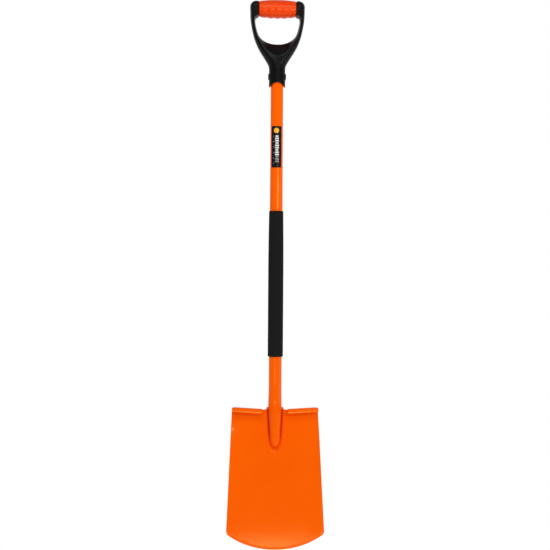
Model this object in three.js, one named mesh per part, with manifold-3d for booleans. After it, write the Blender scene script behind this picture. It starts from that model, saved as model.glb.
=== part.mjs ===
// Garden spade: a pressed steel blade welded to a cranked steel tube, with a foam sleeve on the
// shaft and a moulded D-shaped handle that carries a soft grip.
//
// Millimetres. +Z runs up the shaft, the dished face of the blade looks towards -Y, and X = 0 is
// the plane of symmetry. The tip of the blade is at Z = 0.

import * as THREE from "three";
import { mergeVertices } from "three/addons/utils/BufferGeometryUtils.js";
import Module from "manifold-3d";

const wasm = await Module();
wasm.setup();

const FIT_GAP = 0.3;
const ROUND_SIDES = 32;

// Cuts run this far, clear of whatever they pass through.
const CUT_REACH = 40;

// Blade: a sheet that leans forward below the treads, dished, with a groove for the tube.
const BLADE_LEAN = THREE.MathUtils.degToRad(10.3);
const SHEET_THICKNESS = 2;
const BEND_HEIGHT = 285;
const FACE_SETBACK = 2;
const TREAD_HALF_WIDTH = 92.4;
const CORNER_HALF_WIDTH = 103.2;
const CORNER_HEIGHT = 34;
const DISH_DEPTH = 9;
const DISH_AT_TREADS = 0.3;
const DISH_RUN = 60;

// Treads: the sheet's top edge, bent forwards and down over a flat top.
const TREAD_START_HEIGHT = 288.5;
const TREAD_FALL = 4 / 62;
const TREAD_BEND_RADIUS = 5;
const TREAD_FLAT = 5;
const TREAD_LIP = 4;
const TREAD_BLEND_FROM = 24;
const TREAD_BLEND_TO = 31;
const EAR_HEIGHT = 289.5;

// Groove pressed into the blade behind the tube. It runs out below the tube's nose.
const GROOVE_TOP_HEIGHT = 290;
const GROOVE_END_HEIGHT = 199;
const GROOVE_TOP_RADIUS = 17.6;
const GROOVE_END_RADIUS = 12.6;
const GROOVE_RIM_RADIUS = 4.5;
const GROOVE_RISE = 4.4;

// Shaft tube.
const TUBE_TOP_HEIGHT = 1036;
const TUBE_WALL = 1.5;
const TUBE_TOP_RADIUS = 13.45;
const TUBE_GRIP_RADIUS = 13.8;
const TUBE_CRANK_RADIUS = 14.7;
const TUBE_NOSE_RADIUS = 10.5;
const CRANK_TOP_HEIGHT = 350;
const TUBE_LEAN = THREE.MathUtils.degToRad(12.2);
const NOSE_START_HEIGHT = 230;
const NOSE_END_HEIGHT = 211;

// Foam sleeve.
const SLEEVE_TOP_HEIGHT = 715;
const SLEEVE_BOTTOM_HEIGHT = 403;
const SLEEVE_TOP_RADIUS = 15.2;
const SLEEVE_RADIUS = 16.3;
const SLEEVE_EDGE_RADIUS = 1.6;

// Label wrapped round the front of the shaft.
const LABEL_TOP_HEIGHT = 896;
const LABEL_BOTTOM_HEIGHT = 807.5;
const LABEL_THICKNESS = 0.3;
const LABEL_HALF_ANGLE = THREE.MathUtils.degToRad(47);

// D-shaped handle.
const GRIP_HEIGHT = 1148.3;
const HANDLE_TOP_RADIUS = 17.3;
const HANDLE_HALF_WIDTH = 59;
const HANDLE_CORNER_RADIUS = 13;
const HANDLE_SIDE_STEPS = 24;
const HANDLE_CORNER_STEPS = 7;
const HANDLE_ROUND_STEPS = 5;
const HANDLE_ROUND_TURN = THREE.MathUtils.degToRad(80);
const NECK_RADIUS = 17.5;
const NECK_TOP_HEIGHT = 1020;
const NECK_OVERLAP = 2;
const SOCKET_END_HEIGHT = 978.5;
const SOCKET_DRAFT = 0.2;
const SCALLOP_HEIGHT = 10.5;
const SCALLOP_RADIUS = 19.6;
const OPENING_RIM_SETBACK = 15;
const OPENING_REACH = 27;
const OPENING_FLARE_POWER = 1.25;

// Soft grip moulded round the handle's cross bar.
const GRIP_HALF_LENGTH = 39.7;
const GRIP_END_RADIUS = 16.6;
const GRIP_RADIUS = 19.7;
const CROSS_BAR_RADIUS = 10;
const CROSS_BAR_ROOT = 6;
const GRIP_SPACE_BOTTOM = 1127.3;

// Cross bolt and barrel nut that pin the handle to the tube.
const BOLT_HEIGHT = 1002.8;
const BOLT_RADIUS = 3;
const BOLT_HEAD_RADIUS = 7.4;
const BOLT_HEAD_SEAT = 16.4;
const BOLT_HEAD_TOP = 19.2;
const BARREL_RADIUS = 4.4;
const BARREL_INNER_END = 2;

// Weld beads.
const TOE_BEAD_RADIUS = 3.2;
const COLLAR_BEAD_RADIUS = 2.6;

const orangePaint = new THREE.MeshStandardMaterial({ color: 0xf25c0a, roughness: 0.35, metalness: 0 });
const blackPlastic = new THREE.MeshStandardMaterial({ color: 0x17181a, roughness: 0.5, metalness: 0 });
const blackFoam = new THREE.MeshStandardMaterial({ color: 0x1a1a1a, roughness: 0.9, metalness: 0 });
const softGrip = new THREE.MeshStandardMaterial({ color: 0xf2490b, roughness: 0.55, metalness: 0 });
const blackSteel = new THREE.MeshStandardMaterial({ color: 0x222426, roughness: 0.4, metalness: 0.7 });
const labelFilm = new THREE.MeshStandardMaterial({ color: 0x1c1c1e, roughness: 0.3, metalness: 0 });

const spade = new THREE.Group();

function addPart(name, geometry, material) {
  const mesh = new THREE.Mesh(geometry, material.clone());
  mesh.name = name;
  spade.add(mesh);
  return mesh;
}

// ---------- geometry helpers ----------

function smoothStep(from, to, value) {
  const t = THREE.MathUtils.clamp((value - from) / (to - from), 0, 1);
  return t * t * (3 - 2 * t);
}

function signedVolume(positions, index) {
  let volume = 0;
  const [a, b, c] = [new THREE.Vector3(), new THREE.Vector3(), new THREE.Vector3()];
  for (let i = 0; i < index.length; i += 3) {
    a.fromArray(positions, 3 * index[i]);
    b.fromArray(positions, 3 * index[i + 1]);
    c.fromArray(positions, 3 * index[i + 2]);
    volume += a.dot(b.cross(c)) / 6;
  }
  return volume;
}

function closedGeometry(points, index) {
  const positions = points.flatMap((point) => [point.x, point.y, point.z]);
  const outward = signedVolume(positions, index) > 0;
  const geometry = new THREE.BufferGeometry();
  geometry.setAttribute("position", new THREE.Float32BufferAttribute(positions, 3));
  geometry.setIndex(outward ? index : index.slice().reverse());
  return geometry;
}

// A solid through a row of rings with equal numbers of points, closed by a fan at each end.
function loftRings(rings) {
  const sides = rings[0].length;
  const points = rings.flat();
  const index = [];
  for (let r = 0; r < rings.length - 1; r += 1) {
    for (let s = 0; s < sides; s += 1) {
      const here = r * sides + s;
      const next = r * sides + ((s + 1) % sides);
      index.push(here, next, here + sides, next, next + sides, here + sides);
    }
  }
  const centre = (ring) => ring.reduce((sum, p) => sum.add(p), new THREE.Vector3()).divideScalar(sides);
  const firstCentre = points.push(centre(rings[0])) - 1;
  const lastCentre = points.push(centre(rings[rings.length - 1])) - 1;
  const lastStart = (rings.length - 1) * sides;
  for (let s = 0; s < sides; s += 1) {
    const next = (s + 1) % sides;
    index.push(firstCentre, next, s);
    index.push(lastCentre, lastStart + s, lastStart + next);
  }
  return closedGeometry(points, index);
}

// The same, for outlines that aren't convex: each end is closed by triangles over its outline.
function loftOutlines(rings) {
  const sides = rings[0].length;
  const index = [];
  for (let r = 0; r < rings.length - 1; r += 1) {
    for (let s = 0; s < sides; s += 1) {
      const here = r * sides + s;
      const next = r * sides + ((s + 1) % sides);
      index.push(here, next, here + sides, next, next + sides, here + sides);
    }
  }
  const lastStart = (rings.length - 1) * sides;
  const contour = rings[0].map((p) => new THREE.Vector2(p.x, p.z));
  for (const [a, b, c] of THREE.ShapeUtils.triangulateShape(contour, [])) {
    index.push(a, c, b, lastStart + a, lastStart + b, lastStart + c);
  }
  return closedGeometry(rings.flat(), index);
}

// A sheet of even thickness about a grid of middle points, grid[row][column].
function thickSheet(grid, thickness) {
  const rows = grid.length;
  const columns = grid[0].length;
  const front = [];
  const back = [];
  for (let r = 0; r < rows; r += 1) {
    for (let c = 0; c < columns; c += 1) {
      const along = new THREE.Vector3().subVectors(
        grid[Math.min(r + 1, rows - 1)][c],
        grid[Math.max(r - 1, 0)][c],
      );
      const across = new THREE.Vector3().subVectors(
        grid[r][Math.min(c + 1, columns - 1)],
        grid[r][Math.max(c - 1, 0)],
      );
      const normal = across.cross(along).setLength(thickness / 2);
      front.push(grid[r][c].clone().add(normal));
      back.push(grid[r][c].clone().sub(normal));
    }
  }
  const points = [...front, ...back];
  const index = [];
  const quad = (a, b, c, d) => index.push(a, b, c, a, c, d);
  const frontAt = (r, c) => r * columns + c;
  const backAt = (r, c) => rows * columns + r * columns + c;
  for (let r = 0; r < rows - 1; r += 1) {
    for (let c = 0; c < columns - 1; c += 1) {
      quad(frontAt(r, c), frontAt(r, c + 1), frontAt(r + 1, c + 1), frontAt(r + 1, c));
      quad(backAt(r, c), backAt(r + 1, c), backAt(r + 1, c + 1), backAt(r, c + 1));
    }
  }
  for (let c = 0; c < columns - 1; c += 1) {
    quad(frontAt(0, c), backAt(0, c), backAt(0, c + 1), frontAt(0, c + 1));
    quad(frontAt(rows - 1, c + 1), backAt(rows - 1, c + 1), backAt(rows - 1, c), frontAt(rows - 1, c));
  }
  for (let r = 0; r < rows - 1; r += 1) {
    quad(frontAt(r + 1, 0), backAt(r + 1, 0), backAt(r, 0), frontAt(r, 0));
    quad(
      frontAt(r, columns - 1),
      backAt(r, columns - 1),
      backAt(r + 1, columns - 1),
      frontAt(r + 1, columns - 1),
    );
  }
  return closedGeometry(points, index);
}

function toSolid(geometry) {
  const bare = geometry.clone();
  bare.deleteAttribute("normal");
  bare.deleteAttribute("uv");
  const merged = mergeVertices(bare, 1e-4);
  return new wasm.Manifold(new wasm.Mesh({
    numProp: 3,
    vertProperties: new Float32Array(merged.attributes.position.array),
    triVerts: new Uint32Array(merged.index.array),
  }));
}

// The largest body of a solid, as a geometry: what a boolean leaves behind as crumbs is dropped.
function toGeometry(solid) {
  const bodies = solid.decompose();
  bodies.sort((a, b) => b.volume() - a.volume());
  const mesh = bodies[0].getMesh();
  const geometry = new THREE.BufferGeometry();
  geometry.setAttribute("position", new THREE.Float32BufferAttribute(mesh.vertProperties, 3));
  geometry.setIndex(new THREE.Uint32BufferAttribute(mesh.triVerts, 1));
  return geometry;
}

// A cylinder from one point to another.
function cylinderBetween(start, end, radius, sides = ROUND_SIDES) {
  const axis = new THREE.Vector3().subVectors(end, start);
  const geometry = new THREE.CylinderGeometry(radius, radius, axis.length(), sides);
  const up = new THREE.Vector3(0, 1, 0);
  const turn = new THREE.Quaternion().setFromUnitVectors(up, axis.clone().normalize());
  geometry.applyQuaternion(turn);
  geometry.translate(...new THREE.Vector3().addVectors(start, end).divideScalar(2).toArray());
  return geometry;
}

// A solid of revolution about Z from [radius, height] pairs.
function turnedAboutZ(profile, sides = ROUND_SIDES) {
  const geometry = new THREE.LatheGeometry(profile.map(([r, z]) => new THREE.Vector2(r, z)), sides);
  geometry.rotateX(Math.PI / 2);
  return geometry;
}

// A solid of revolution about X from [radius, x] pairs, at a height.
function turnedAboutX(profile, height, sides = ROUND_SIDES) {
  const geometry = new THREE.LatheGeometry(profile.map(([r, x]) => new THREE.Vector2(r, x)), sides);
  geometry.rotateZ(-Math.PI / 2);
  geometry.translate(0, 0, height);
  return geometry;
}

// ---------- blade ----------

function bladeHalfWidth(z) {
  const t = (TREAD_START_HEIGHT - z) / (TREAD_START_HEIGHT - CORNER_HEIGHT);
  return THREE.MathUtils.lerp(TREAD_HALF_WIDTH, CORNER_HALF_WIDTH, t);
}

function grooveDepth(x, z) {
  const p = THREE.MathUtils.clamp((GROOVE_TOP_HEIGHT - z) / (GROOVE_TOP_HEIGHT - GROOVE_END_HEIGHT), 0, 1);
  const radius = THREE.MathUtils.lerp(GROOVE_TOP_RADIUS, GROOVE_END_RADIUS, p);
  const centreLift = radius * p ** GROOVE_RISE;
  const rimToCentre = radius + GROOVE_RIM_RADIUS;
  const rim = Math.sqrt(Math.max(rimToCentre ** 2 - (GROOVE_RIM_RADIUS + centreLift) ** 2, 0));
  const reach = Math.abs(x);
  if (reach >= rim) {
    return 0;
  }
  if (reach > (rim * radius) / rimToCentre) {
    return GROOVE_RIM_RADIUS - Math.sqrt(GROOVE_RIM_RADIUS ** 2 - (rim - reach) ** 2);
  }
  return Math.sqrt(radius ** 2 - reach ** 2) - centreLift;
}

function facePoint(x, z) {
  const plane = FACE_SETBACK - (BEND_HEIGHT - z) * Math.tan(BLADE_LEAN);
  const ramp = DISH_AT_TREADS + (1 - DISH_AT_TREADS) * smoothStep(0, DISH_RUN, BEND_HEIGHT - z);
  const dish = DISH_DEPTH * ramp * (x / CORNER_HALF_WIDTH) ** 2;
  return new THREE.Vector3(x, plane - dish + grooveDepth(x, z), z);
}

// Forward and upward offsets of the bent edge, from where the first bend starts.
function treadProfile(bendSteps) {
  const r = TREAD_BEND_RADIUS;
  const start = Math.sin(BLADE_LEAN);
  const reach = Math.cos(BLADE_LEAN);
  const profile = [];
  for (let i = 1; i <= bendSteps; i += 1) {
    const turn = THREE.MathUtils.lerp(-BLADE_LEAN, Math.PI / 2, i / bendSteps);
    profile.push([r * (reach - Math.cos(turn)), r * (Math.sin(turn) + start)]);
  }
  for (let i = 0; i <= bendSteps; i += 1) {
    const turn = THREE.MathUtils.lerp(Math.PI / 2, Math.PI, i / bendSteps);
    profile.push([r * (reach - Math.cos(turn)) + TREAD_FLAT, r * (Math.sin(turn) + start)]);
  }
  profile.push([r * (reach + 1) + TREAD_FLAT, r * start - TREAD_LIP]);
  return profile;
}

function treadStartHeight(x) {
  return TREAD_START_HEIGHT - TREAD_FALL * (TREAD_HALF_WIDTH - Math.abs(x));
}

function bottomHeight(x) {
  const radius = (CORNER_HALF_WIDTH ** 2 + CORNER_HEIGHT ** 2) / (2 * CORNER_HEIGHT);
  return radius - Math.sqrt(radius ** 2 - x ** 2);
}

function bladeGrid() {
  const halfColumns = 13;
  const faceRows = 20;
  const treadBendSteps = 4;
  const spread = 1.6;
  const crowd = 1.35;
  const shares = [];
  for (let c = -halfColumns; c <= halfColumns; c += 1) {
    shares.push(Math.sign(c) * Math.abs(c / halfColumns) ** spread);
  }
  const grid = [];
  const profile = treadProfile(treadBendSteps);
  for (let r = profile.length - 1; r >= 0; r -= 1) {
    grid.push(shares.map((share) => {
      const x = share * TREAD_HALF_WIDTH;
      const startHeight = treadStartHeight(x);
      const start = facePoint(x, startHeight);
      const [forward, up] = profile[r];
      const bent = new THREE.Vector3(x, start.y - forward, startHeight + up);
      const ear = facePoint(x, THREE.MathUtils.lerp(startHeight, EAR_HEIGHT, (r + 1) / profile.length));
      return ear.lerp(bent, smoothStep(TREAD_BLEND_FROM, TREAD_BLEND_TO, Math.abs(x)));
    }));
  }
  for (let r = 0; r <= faceRows; r += 1) {
    const down = (r / faceRows) ** crowd;
    grid.push(shares.map((share) => {
      const top = treadStartHeight(share * TREAD_HALF_WIDTH);
      const bottom = bottomHeight(share * CORNER_HALF_WIDTH);
      const z = THREE.MathUtils.lerp(top, bottom, down);
      return facePoint(share * bladeHalfWidth(z), z);
    }));
  }
  return grid;
}

const bladeMiddle = bladeGrid();

function bladeSheet(clearance = 0) {
  return thickSheet(bladeMiddle, SHEET_THICKNESS + 2 * clearance);
}

// ---------- shaft tube ----------

// The tube's centre line: straight, set back through a crank, then leaning forward in the groove.
function tubeCentre(z) {
  const slope = Math.tan(TUBE_LEAN);
  if (z >= CRANK_TOP_HEIGHT) {
    return new THREE.Vector3(0, 0, z);
  }
  if (z <= BEND_HEIGHT) {
    return new THREE.Vector3(0, FACE_SETBACK - (BEND_HEIGHT - z) * slope, z);
  }
  const run = CRANK_TOP_HEIGHT - BEND_HEIGHT;
  const s = (z - BEND_HEIGHT) / run;
  const offset = FACE_SETBACK * (1 - 3 * s ** 2 + 2 * s ** 3) + slope * run * (s - 2 * s ** 2 + s ** 3);
  return new THREE.Vector3(0, offset, z);
}

// Radius by height, from the top end to where the nose starts to close.
const tubeRadii = [
  [TUBE_TOP_HEIGHT, TUBE_TOP_RADIUS],
  [826, TUBE_TOP_RADIUS],
  [730, TUBE_GRIP_RADIUS],
  [CRANK_TOP_HEIGHT, TUBE_GRIP_RADIUS],
  [335, TUBE_GRIP_RADIUS],
  [320, 14.1],
  [305, 14.5],
  [290, TUBE_CRANK_RADIUS],
  [270, 13.4],
  [250, 11.9],
  [NOSE_START_HEIGHT, TUBE_NOSE_RADIUS],
];

function tubeRing(z, radius) {
  const centre = tubeCentre(z);
  const ahead = tubeCentre(z + 0.5);
  const up = new THREE.Vector3().subVectors(ahead, centre).normalize();
  const side = new THREE.Vector3(1, 0, 0);
  const back = new THREE.Vector3().crossVectors(up, side);
  const ring = [];
  for (let i = 0; i < ROUND_SIDES; i += 1) {
    const turn = (2 * Math.PI * i) / ROUND_SIDES;
    const point = centre.clone().addScaledVector(side, radius * Math.cos(turn));
    ring.push(point.addScaledVector(back, radius * Math.sin(turn)));
  }
  return ring;
}

// Rings of a tube wall from the top end down to the nose, shrunk by an inset.
function tubeRings(inset, topHeight = TUBE_TOP_HEIGHT) {
  const noseSteps = 6;
  const noseLength = NOSE_START_HEIGHT - NOSE_END_HEIGHT;
  const rings = tubeRadii
    .filter(([z]) => z <= topHeight)
    .map(([z, radius]) => tubeRing(z, radius - inset));
  for (let i = 1; i < noseSteps; i += 1) {
    const turn = (Math.PI / 2) * (i / noseSteps);
    const z = NOSE_START_HEIGHT - (noseLength - inset) * Math.sin(turn);
    rings.push(tubeRing(z, (TUBE_NOSE_RADIUS - inset) * Math.cos(turn)));
  }
  return rings;
}

function shaftTube() {
  const outside = tubeRings(0).reverse();
  const inside = tubeRings(TUBE_WALL);
  const wall = toSolid(loftRings([...outside, ...inside]));
  const boltHole = toSolid(cylinderBetween(
    new THREE.Vector3(-20, 0, BOLT_HEIGHT),
    new THREE.Vector3(0, 0, BOLT_HEIGHT),
    BOLT_RADIUS + FIT_GAP,
    24,
  ));
  const barrelHole = toSolid(cylinderBetween(
    new THREE.Vector3(0, 0, BOLT_HEIGHT),
    new THREE.Vector3(20, 0, BOLT_HEIGHT),
    BARREL_RADIUS + FIT_GAP,
    24,
  ));
  return toGeometry(wall.subtract(boltHole).subtract(barrelHole));
}

// ---------- weld beads ----------

function weldBead(path, radius) {
  const section = new THREE.Shape().absarc(0, 0, radius, 0, 2 * Math.PI);
  const bead = new THREE.ExtrudeGeometry(section, { extrudePath: path, steps: 20, curveSegments: 6 });
  const tube = toSolid(loftRings(tubeRings(-FIT_GAP, CRANK_TOP_HEIGHT)));
  const sheet = toSolid(bladeSheet(1.5 * FIT_GAP));
  return toGeometry(toSolid(bead).subtract(tube).subtract(sheet));
}

// A bead round the tube's nose, on the front of the blade.
function toeWeld() {
  const points = [];
  const steps = 12;
  for (let i = 0; i <= steps; i += 1) {
    const turn = Math.PI * (i / steps);
    const x = (TUBE_NOSE_RADIUS + 1) * Math.cos(turn);
    const z = NOSE_START_HEIGHT - 2 - (NOSE_START_HEIGHT - NOSE_END_HEIGHT) * Math.sin(turn);
    const base = facePoint(x, z);
    points.push(base.setY(base.y - SHEET_THICKNESS / 2));
  }
  return weldBead(new THREE.CatmullRomCurve3(points), TOE_BEAD_RADIUS);
}

// A bead round the back of the tube, on the top edge of the blade's groove.
function collarWeld() {
  const points = [];
  const steps = 12;
  const start = THREE.MathUtils.degToRad(-15);
  const reach = TUBE_CRANK_RADIUS + 1.4;
  const height = EAR_HEIGHT + COLLAR_BEAD_RADIUS + 2 * FIT_GAP;
  for (let i = 0; i <= steps; i += 1) {
    const turn = THREE.MathUtils.lerp(start, Math.PI - start, i / steps);
    const centre = tubeCentre(EAR_HEIGHT);
    points.push(new THREE.Vector3(reach * Math.cos(turn), centre.y + reach * Math.sin(turn), height));
  }
  return weldBead(new THREE.CatmullRomCurve3(points), COLLAR_BEAD_RADIUS);
}

// ---------- foam sleeve and label ----------

function foamSleeve() {
  const bore = TUBE_GRIP_RADIUS + FIT_GAP;
  const edge = SLEEVE_EDGE_RADIUS;
  const profile = [
    [bore, SLEEVE_BOTTOM_HEIGHT],
    [SLEEVE_RADIUS - edge, SLEEVE_BOTTOM_HEIGHT],
    [SLEEVE_RADIUS - 0.3 * edge, SLEEVE_BOTTOM_HEIGHT + 0.3 * edge],
    [SLEEVE_RADIUS, SLEEVE_BOTTOM_HEIGHT + edge],
    [SLEEVE_RADIUS, 600],
    [16.1, 640],
    [15.8, 670],
    [SLEEVE_TOP_RADIUS, SLEEVE_TOP_HEIGHT - edge],
    [SLEEVE_TOP_RADIUS - 0.3, SLEEVE_TOP_HEIGHT - 0.3],
    [bore + 0.3, SLEEVE_TOP_HEIGHT],
    [bore, SLEEVE_TOP_HEIGHT - 0.3],
    [bore, SLEEVE_BOTTOM_HEIGHT],
  ];
  return turnedAboutZ(profile);
}

function shaftLabel() {
  const inner = TUBE_TOP_RADIUS + FIT_GAP;
  const outer = inner + LABEL_THICKNESS;
  const front = -Math.PI / 2;
  const shape = new THREE.Shape();
  shape.absarc(0, 0, outer, front - LABEL_HALF_ANGLE, front + LABEL_HALF_ANGLE, false);
  shape.absarc(0, 0, inner, front + LABEL_HALF_ANGLE, front - LABEL_HALF_ANGLE, true);
  const depth = LABEL_TOP_HEIGHT - LABEL_BOTTOM_HEIGHT;
  const geometry = new THREE.ExtrudeGeometry(shape, { depth, bevelEnabled: false, curveSegments: 16 });
  geometry.translate(0, 0, LABEL_BOTTOM_HEIGHT);
  return geometry;
}

// ---------- D-shaped handle ----------

// Right-hand side of the handle's front outline, from below the top corner down to the neck.
const handleSide = [
  [57.9, 1125],
  [54.5, 1103.6],
  [49, 1082],
  [39.7, 1060.7],
  [26.4, 1039.2],
  [19.2, 1027],
  [NECK_RADIUS, NECK_TOP_HEIGHT],
];

// [height, half depth, width of the rounded side] of the handle, from the neck to the top.
const handleSections = [
  [NECK_TOP_HEIGHT, NECK_RADIUS, NECK_RADIUS],
  [1035, 16.8, 13],
  [1060, 14.8, 8.5],
  [1090, 13.3, 6.5],
  [1115, 13.6, 6],
  [1135, 16.6, 6.5],
  [1150, HANDLE_TOP_RADIUS, 9],
  [GRIP_HEIGHT + HANDLE_TOP_RADIUS, HANDLE_TOP_RADIUS, 12.5],
];

function mirrored(points) {
  return points.map(([x, z]) => [-x, z]).reverse();
}

function sectionAt(z) {
  const last = handleSections.length - 1;
  const above = handleSections.findIndex(([height]) => height >= z);
  const upper = above < 0 ? last : Math.max(above, 1);
  const [low, high] = [handleSections[upper - 1], handleSections[upper]];
  const t = smoothStep(low[0], high[0], z);
  return [THREE.MathUtils.lerp(low[1], high[1], t), THREE.MathUtils.lerp(low[2], high[2], t)];
}

// The outline from the neck's right-hand side, over the top, to its left-hand side.
function handleOutline() {
  const top = GRIP_HEIGHT + HANDLE_TOP_RADIUS;
  const corner = HANDLE_CORNER_RADIUS;
  const across = HANDLE_HALF_WIDTH - corner;
  const sidePoints = [[HANDLE_HALF_WIDTH, top - corner], ...handleSide];
  const side = new THREE.SplineCurve(sidePoints.map(([x, z]) => new THREE.Vector2(x, z)));
  const right = side.getSpacedPoints(HANDLE_SIDE_STEPS).reverse().map((p) => [p.x, p.y]);
  for (let i = 1; i <= HANDLE_CORNER_STEPS; i += 1) {
    const turn = (Math.PI / 2) * (i / HANDLE_CORNER_STEPS);
    right.push([across + corner * Math.cos(turn), top - corner + corner * Math.sin(turn)]);
  }
  right.push([across / 3, top]);
  return [...right, ...mirrored(right)];
}

// The handle's body: the outline with fully rounded sides, as deep as its section says.
function handleBody() {
  const outline = handleOutline();
  const count = outline.length;
  const inward = outline.map(([x], i) => {
    if (i === 0 || i === count - 1) {
      return new THREE.Vector2(-Math.sign(x), 0);
    }
    const along = new THREE.Vector2(
      outline[i + 1][0] - outline[i - 1][0],
      outline[i + 1][1] - outline[i - 1][1],
    );
    return new THREE.Vector2(-along.y, along.x).normalize();
  });
  const rings = [];
  for (let level = -HANDLE_ROUND_STEPS; level <= HANDLE_ROUND_STEPS; level += 1) {
    const turn = HANDLE_ROUND_TURN * (level / HANDLE_ROUND_STEPS);
    rings.push(outline.map(([x, z], i) => {
      const [halfDepth, rounding] = sectionAt(z);
      const inset = rounding * (1 - Math.cos(turn));
      return new THREE.Vector3(
        x + inset * inward[i].x,
        halfDepth * Math.sin(turn),
        z + inset * inward[i].y,
      );
    }));
  }
  return toSolid(loftOutlines(rings));
}

// A turned socket for the tube, with a little draft towards its mouth.
function socket() {
  return toSolid(turnedAboutZ([
    [0, SOCKET_END_HEIGHT],
    [NECK_RADIUS + SOCKET_DRAFT, SOCKET_END_HEIGHT],
    [NECK_RADIUS, NECK_TOP_HEIGHT + NECK_OVERLAP],
    [0, NECK_TOP_HEIGHT + NECK_OVERLAP],
  ]));
}

// The hand opening's outline at the parting line and at the front and back rims.
const openingMiddle = [
  [40, 1131],
  [46, 1128.5],
  [47.3, 1121],
  [44.1, 1103.6],
  [39.3, 1090.7],
  [31.4, 1082],
  [18, 1075.5],
];
const openingRim = [
  [41, 1132.5],
  [48.4, 1129.5],
  [50, 1121],
  [47.8, 1103.6],
  [44, 1089],
  [31.5, 1071],
  [18.2, 1055.5],
];
const OPENING_POINTS = 48;
const openingPlanes = [4, 9, OPENING_RIM_SETBACK, OPENING_REACH];
const OPENING_MIDDLE_FLOOR = 1073;
const OPENING_RIM_FLOOR = 1047.8;

function openingRing(y, flare) {
  const floor = THREE.MathUtils.lerp(OPENING_MIDDLE_FLOOR, OPENING_RIM_FLOOR, flare);
  const right = openingMiddle.map(([x, z], i) => [
    THREE.MathUtils.lerp(x, openingRim[i][0], flare),
    THREE.MathUtils.lerp(z, openingRim[i][1], flare),
  ]);
  const loop = [...right, [0, floor], ...mirrored(right)];
  const curve = new THREE.CatmullRomCurve3(loop.map(([x, z]) => new THREE.Vector3(x, y, z)), true);
  return curve.getSpacedPoints(OPENING_POINTS).slice(0, -1);
}

function handOpening() {
  const flareAt = (y) => (Math.abs(y) / OPENING_RIM_SETBACK) ** OPENING_FLARE_POWER;
  const planes = [...openingPlanes.map((y) => -y).reverse(), 0, ...openingPlanes];
  return toSolid(loftRings(planes.map((y) => openingRing(y, flareAt(y)))));
}

function handleFrame() {
  const alongX = (from, to, height, radius) => toSolid(cylinderBetween(
    new THREE.Vector3(from, 0, height),
    new THREE.Vector3(to, 0, height),
    radius,
  ));
  const gripSpace = new THREE.BoxGeometry(
    2 * (GRIP_HALF_LENGTH + FIT_GAP),
    2 * CUT_REACH,
    2 * CUT_REACH,
  );
  gripSpace.translate(0, 0, GRIP_SPACE_BOTTOM + CUT_REACH);
  const tubeBore = cylinderBetween(
    new THREE.Vector3(0, 0, SOCKET_END_HEIGHT - CUT_REACH),
    new THREE.Vector3(0, 0, TUBE_TOP_HEIGHT + FIT_GAP),
    TUBE_TOP_RADIUS + FIT_GAP,
  );
  const scallopCentre = SOCKET_END_HEIGHT + SCALLOP_HEIGHT - SCALLOP_RADIUS;
  const scallop = cylinderBetween(
    new THREE.Vector3(0, -CUT_REACH, scallopCentre),
    new THREE.Vector3(0, CUT_REACH, scallopCentre),
    SCALLOP_RADIUS,
  );
  const headSeat = BOLT_HEAD_SEAT - FIT_GAP;
  const barReach = GRIP_HALF_LENGTH + CROSS_BAR_ROOT;
  const shell = handleBody().add(socket())
    .subtract(handOpening())
    .subtract(toSolid(gripSpace))
    .add(alongX(-barReach, barReach, GRIP_HEIGHT, CROSS_BAR_RADIUS))
    .subtract(toSolid(tubeBore))
    .subtract(toSolid(scallop))
    .subtract(alongX(-CUT_REACH, -headSeat, BOLT_HEIGHT, BOLT_HEAD_RADIUS + FIT_GAP))
    .subtract(alongX(headSeat, CUT_REACH, BOLT_HEIGHT, BOLT_HEAD_RADIUS + FIT_GAP))
    .subtract(alongX(-CUT_REACH, 0, BOLT_HEIGHT, BOLT_RADIUS + FIT_GAP))
    .subtract(alongX(0, CUT_REACH, BOLT_HEIGHT, BARREL_RADIUS + FIT_GAP));
  return toGeometry(shell);
}

function gripSleeve() {
  const bore = CROSS_BAR_RADIUS + FIT_GAP;
  const steps = 10;
  const profile = [[bore, -GRIP_HALF_LENGTH]];
  for (let i = 0; i <= steps; i += 1) {
    const x = THREE.MathUtils.lerp(-GRIP_HALF_LENGTH, GRIP_HALF_LENGTH, i / steps);
    const swell = 1 - (x / GRIP_HALF_LENGTH) ** 2;
    profile.push([THREE.MathUtils.lerp(GRIP_END_RADIUS, GRIP_RADIUS, swell), x]);
  }
  profile.push([bore, GRIP_HALF_LENGTH], [bore, -GRIP_HALF_LENGTH]);
  return turnedAboutX(profile, GRIP_HEIGHT);
}

// ---------- cross bolt and barrel nut ----------

// [radius, x] pairs over the face of a domed head that looks towards +X.
function domedHead() {
  const r = BOLT_HEAD_RADIUS;
  return [
    [r, BOLT_HEAD_SEAT],
    [r, BOLT_HEAD_TOP - 1.1],
    [0.86 * r, BOLT_HEAD_TOP - 0.35],
    [0.5 * r, BOLT_HEAD_TOP],
  ];
}

function handleBolt() {
  const shankEnd = BOLT_HEAD_SEAT - 3;
  const head = domedHead().map(([r, x]) => [r, -x]).reverse();
  const profile = [
    [0, -BOLT_HEAD_TOP],
    ...head,
    [BOLT_RADIUS, -BOLT_HEAD_SEAT],
    [BOLT_RADIUS, shankEnd],
    [0, shankEnd],
  ];
  return turnedAboutX(profile, BOLT_HEIGHT, 28);
}

function barrelNut() {
  const bore = BOLT_RADIUS + FIT_GAP;
  const profile = [
    [bore, BARREL_INNER_END],
    [BARREL_RADIUS, BARREL_INNER_END],
    [BARREL_RADIUS, BOLT_HEAD_SEAT],
    ...domedHead(),
    [0, BOLT_HEAD_TOP],
    [0, BOLT_HEAD_SEAT - 2],
    [bore, BOLT_HEAD_SEAT - 2],
    [bore, BARREL_INNER_END],
  ];
  return turnedAboutX(profile, BOLT_HEIGHT, 28);
}

// ---------- assembly ----------

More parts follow.
